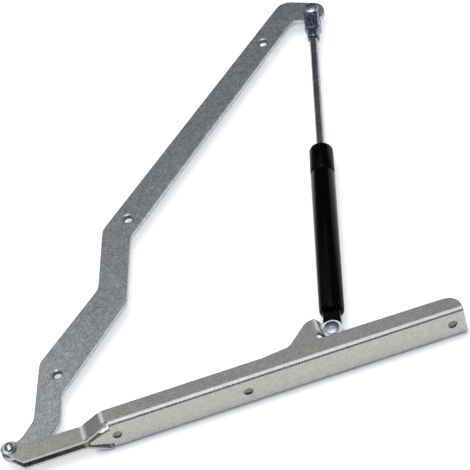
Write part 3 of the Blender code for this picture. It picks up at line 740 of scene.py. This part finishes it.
# Floor: just under the object, with a glow that fades within a short reach of what touches it, a
# painted contact shadow
FLOOR_SIZE = 8.0
FLOOR_GAP = 0.2 * MM
FLOOR_COLOUR = "#f2f2f2"
FLOOR_GLOW = 0.43
CONTACT_REACH = 7 * MM
CONTACT_POWER = 2

# Brightness of the room by degrees over the back horizon, round over the ceiling to the front
STUDIO_LEVELS = (
    (-180, 0.10), (-170, 0.60), (-10, 0.60), (-1, 0.10), (0, 0.03), (12, 0.03), (26, 0.08),
    (40, 0.105), (50, 0.155), (60, 0.16), (80, 0.24), (134, 0.20), (144, 0.02), (178, 0.02),
    (180, 0.05),
)
STUDIO_TINT = (0.94, 0.985, 1.04)
# A bright strip along the ceiling: the same degrees, and its middle and half widths in x
CEILING_LEVELS = ((-180, 0), (60, 0), (76, 1.7), (138, 2.0), (144, 0), (180, 0))
CEILING_TINT = (0.90, 0.975, 1.09)
CEILING_MIDDLE = -0.08
CEILING_HALF = 0.22
CEILING_FADE = 0.42
# Softer glows: their direction, full and fading half angles in degrees, and strength
GLOWS = (
    ((-0.68, 0.645, 0.346), 7, 20, 0.32),
    ((0.84, 0.53, 0.10), 7, 15, 1.1),
    ((-0.72, -0.66, 0.13), 5, 12, 2.2),
)

# Overhead softbox: it fills and shades, but the metal doesn't mirror it
SOFTBOX_PLACE = (0.25, 0.35, 1.6)
SOFTBOX_AIM = (0, 0.2, 0)
SOFTBOX_SIZE = (1.5, 1.5)
SOFTBOX_WATTS = 9

# Back panels, which the flat metal mirrors to the camera: name, x, width and brightness
PANELS = (
    ("left back panel", -0.44, 0.52, 0.82),
    ("right back panel", 0.11, 0.44, 0.48),
)
PANEL_Y = 0.68
PANEL_HEIGHT = 0.80
PANEL_DEPTH = 0.36


def add_floor():
    """A white floor to the camera and to the metal that mirrors it, with a painted contact shadow
    where a piece rests.
    """
    deselect()
    bpy.ops.mesh.primitive_plane_add(size=FLOOR_SIZE, location=(0, 0, cad_low.z - FLOOR_GAP))
    floor = bpy.context.active_object
    floor.name = "studio_floor"
    bpy.ops.object.transform_apply(location=True)
    made = bpy.data.materials.new("white studio floor")
    made.use_nodes = True
    tree = made.node_tree
    tree.nodes.clear()
    seen = add(tree, "ShaderNodeLightPath")
    wanted = add(
        tree, "ShaderNodeMath",
        {0: seen.outputs["Is Camera Ray"], 1: seen.outputs["Is Glossy Ray"]}, operation="MAXIMUM",
    ).outputs[0]
    wanted = add(
        tree, "ShaderNodeMath", {0: wanted, 1: seen.outputs["Is Transmission Ray"]},
        operation="MAXIMUM",
    ).outputs[0]
    matt = add(tree, "ShaderNodeBsdfDiffuse", {"Color": linear(FLOOR_COLOUR)}).outputs[0]
    # Painted contact shadow: ambient occlusion dims the floor's glow near what touches it
    open_air = add(tree, "ShaderNodeAmbientOcclusion", {"Distance": CONTACT_REACH}).outputs["AO"]
    open_air = add(
        tree, "ShaderNodeMath", {0: open_air, 1: CONTACT_POWER}, operation="POWER",
    ).outputs[0]
    strength = add(
        tree, "ShaderNodeMath", {0: open_air, 1: FLOOR_GLOW}, operation="MULTIPLY",
    ).outputs[0]
    glow = add(tree, "ShaderNodeEmission", {"Color": (1, 1, 1, 1), "Strength": strength})
    both = add(tree, "ShaderNodeAddShader", {0: matt, 1: glow.outputs[0]}).outputs[0]
    pick = add(tree, "ShaderNodeMixShader", {"Fac": wanted, 1: matt, 2: both}).outputs[0]
    add(tree, "ShaderNodeOutputMaterial", {"Surface": pick})
    floor.data.materials.append(made)


def add_area_light(name, place, aim, size, watts):
    """A rectangular light that shines from its place to its aim."""
    light = bpy.data.lights.new(name, "AREA")
    light.shape = "RECTANGLE"
    light.size, light.size_y = size
    light.energy = watts
    lamp = bpy.data.objects.new(name, light)
    bpy.context.scene.collection.objects.link(lamp)
    lamp.location = place
    lamp.rotation_euler = (Vector(aim) - Vector(place)).to_track_quat("-Z", "Y").to_euler()
    return lamp


def add_world():
    """A studio by height over the back horizon: grey back wall, bright ceiling, dark front."""
    world = bpy.data.worlds.new("soft studio")
    bpy.context.scene.world = world
    world.use_nodes = True
    tree = world.node_tree
    direction = add(tree, "ShaderNodeTexCoord").outputs["Generated"]
    parts = add(tree, "ShaderNodeSeparateXYZ", {"Vector": direction})
    angle = add(
        tree, "ShaderNodeMath", {0: parts.outputs["Z"], 1: parts.outputs["Y"]}, operation="ARCTAN2",
    ).outputs[0]
    turn = add(
        tree, "ShaderNodeMapRange", {"Value": angle, "From Min": -math.pi, "From Max": math.pi},
    ).outputs["Result"]
    lit = []
    for levels, tint in ((STUDIO_LEVELS, STUDIO_TINT), (CEILING_LEVELS, CEILING_TINT)):
        stops = [
            ((degrees + 180) / 360, (*(level * part for part in tint), 1))
            for degrees, level in levels
        ]
        lit.append(add(tree, "ShaderNodeValToRGB", {"Fac": turn}, stops=stops).outputs["Color"])
    room, ceiling = lit
    sideways = add(
        tree, "ShaderNodeMath", {0: parts.outputs["X"], 1: CEILING_MIDDLE}, operation="SUBTRACT",
    ).outputs[0]
    sideways = add(tree, "ShaderNodeMath", {0: sideways}, operation="ABSOLUTE").outputs[0]
    middle = add(
        tree, "ShaderNodeMapRange",
        {
            "Value": sideways, "From Min": CEILING_HALF, "From Max": CEILING_FADE,
            "To Min": 1, "To Max": 0,
        },
    ).outputs["Result"]
    strip = add(
        tree, "ShaderNodeVectorMath", {0: ceiling, 1: middle}, operation="MULTIPLY",
    ).outputs["Vector"]
    light = add(
        tree, "ShaderNodeVectorMath", {0: room, 1: strip}, operation="ADD",
    ).outputs["Vector"]
    for aim, full_deg, fading_deg, strength in GLOWS:
        nearness = add(
            tree, "ShaderNodeVectorMath", {0: direction, 1: Vector(aim).normalized()},
            operation="DOT_PRODUCT",
        ).outputs["Value"]
        glow = add(
            tree, "ShaderNodeMapRange",
            {
                "Value": nearness,
                "From Min": math.cos(math.radians(fading_deg)),
                "From Max": math.cos(math.radians(full_deg)),
                "To Min": 0, "To Max": strength,
            },
        ).outputs["Result"]
        light = add(
            tree, "ShaderNodeVectorMath", {0: light, 1: glow}, operation="ADD",
        ).outputs["Vector"]
    give(tree, tree.nodes["Background"], {"Color": light, "Strength": 1})


add_floor()
add_world()
softbox = add_area_light(
    "overhead softbox", SOFTBOX_PLACE, SOFTBOX_AIM, SOFTBOX_SIZE, SOFTBOX_WATTS,
)
softbox.visible_glossy = False
for name, x, width, brightness in PANELS:
    panel = add_area_light(
        name, (x, PANEL_Y, PANEL_HEIGHT), (x, PANEL_Y, 0), (width, PANEL_DEPTH),
        brightness * math.pi * width * PANEL_DEPTH,
    )
    panel.visible_camera = False

camera_data = bpy.data.cameras.new("photo camera")
camera_data.sensor_width = SENSOR_WIDTH
camera_data.lens = FOCAL_PIXELS / PHOTO_WIDTH * SENSOR_WIDTH
camera = bpy.data.objects.new("photo camera", camera_data)
camera.location = CAMERA_PLACE
camera.rotation_euler = [math.radians(a) for a in CAMERA_TURN_DEG]
bpy.context.scene.collection.objects.link(camera)
bpy.context.scene.camera = camera

bpy.context.scene.view_settings.view_transform = "Standard"
